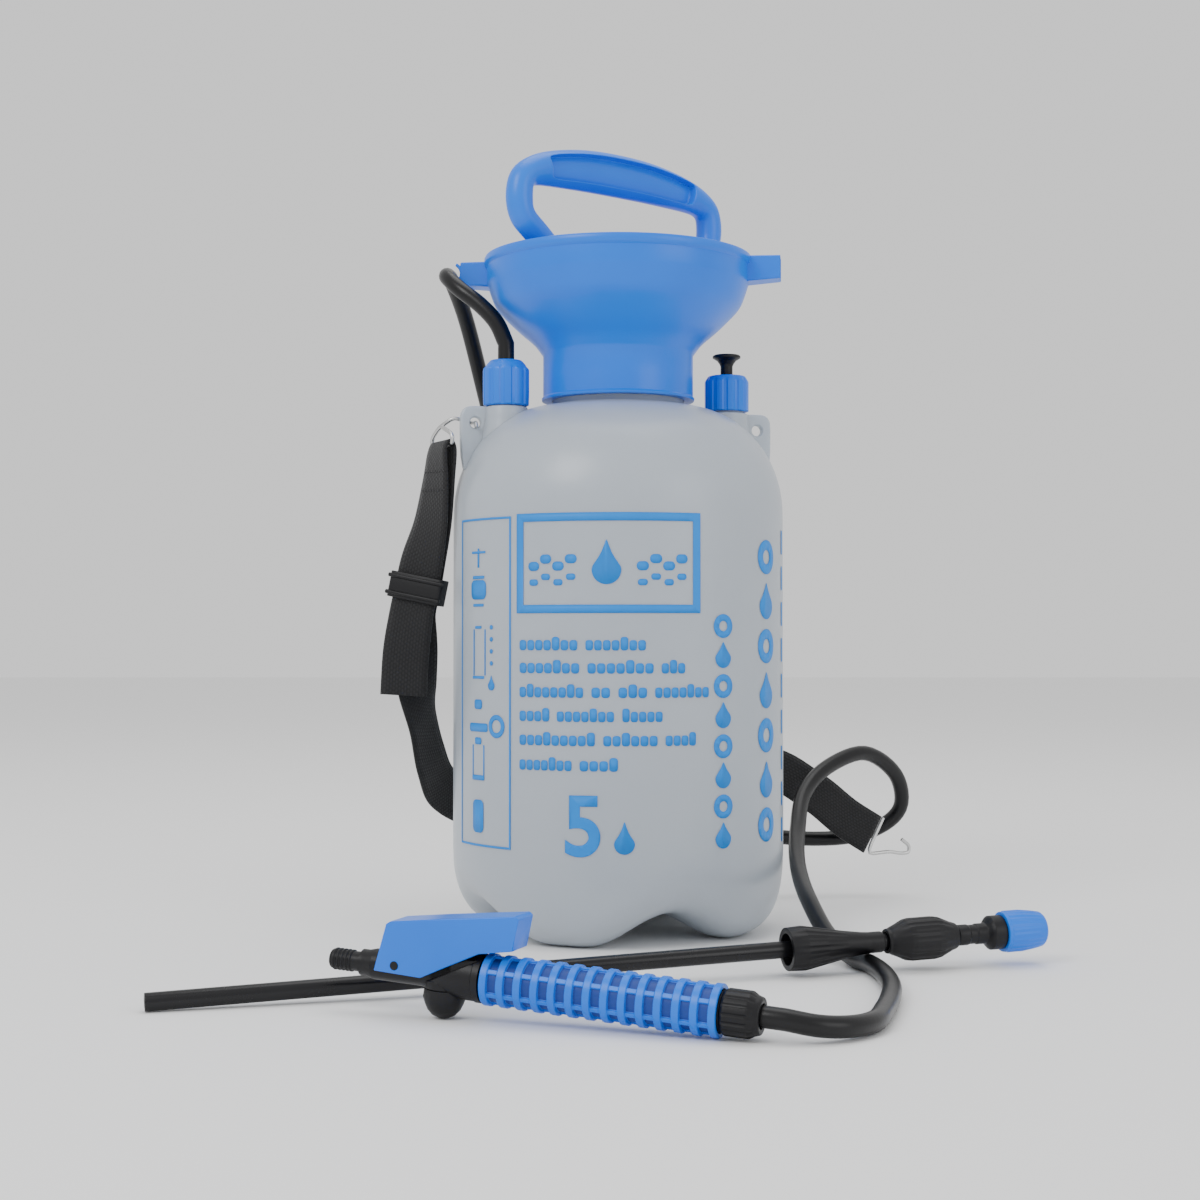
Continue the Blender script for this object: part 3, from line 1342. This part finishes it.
def build_hooks(parent):
    """Two wire hooks: one in the outlet lug's hole, and one on the webbing's free end."""
    bar, width = STRAP_ROUTE[8]
    wide = Vector(width).normalized() * (STRAP_WIDTH / 2 + 0.002)
    bar_at = Vector(bar) - Vector((0, 0, STRAP_THICK / 2 + HOOK_WIRE + 2 * GAP))
    hole = Vector(around(LUG_HOLE_OUT, PORT_TURN, LUG_HOLE_HEIGHT))
    through = Vector(around(1.0, PORT_TURN + math.pi / 2))
    out = Vector(around(1.0, PORT_TURN))
    up = Vector((0, 0, 1))
    near = wide if through.dot(wide) > 0 else -wide
    peak = bar_at + up * 0.0105 + out * 0.0010
    hook = [
        peak + through * 0.0028,
        bar_at + near * 0.98 + up * 0.0055,
        bar_at + near,
        bar_at - near,
        bar_at - near * 0.98 + up * 0.0055,
        peak - through * 0.0028,
        hole + out * 0.0110 - through * 0.0042 + up * 0.0030,
        hole + out * 0.0040 - through * 0.0050 + up * 0.0015,
        hole - through * 0.0030,
        hole + through * 0.0030,
        hole + through * 0.0050 - up * 0.0030,
    ]
    wire("strap_hook", hook, HOOK_WIRE, FINISH["steel"], parent, sides=1)

    end, end_width = STRAP_ROUTE[-1]
    before, _ = STRAP_ROUTE[-2]
    ahead = (Vector(end) - Vector(before)).normalized()
    tall = Vector(end_width).normalized() * (STRAP_WIDTH / 2)
    bar_at = Vector(end) + ahead * (HOOK_WIRE + GAP + 0.0004)
    tip = bar_at + ahead * 0.013
    hook = [
        bar_at + tall,
        bar_at - tall,
        tip - tall * 0.25,
        tip + ahead * 0.008,
        tip + ahead * 0.012 + tall * 0.25,
        tip + ahead * 0.010 + tall * 0.55,
        tip + ahead * 0.004 + tall * 0.60,
    ]
    wire("strap_free_hook", hook, HOOK_WIRE, FINISH["steel"], parent, sides=1)


clear_scene()
FINISH = {name: material(name) for name in MATERIALS}
assembly = empty("assembly", ASSEMBLY_AT)
build_tank(FINISH["milky_plastic"], assembly)
build_funnel(FINISH["blue_plastic"], assembly)
build_pump(empty("pump_axis", (0, 0, 0), assembly))
build_plunger(empty("plunger_axis", (0, 0, 0), assembly))
hose_start = build_outlet(assembly)
build_relief(assembly)
hose_end = build_gun(assembly)
build_lance(assembly)
build_hose(assembly, hose_start, hose_end)
build_strap(assembly)
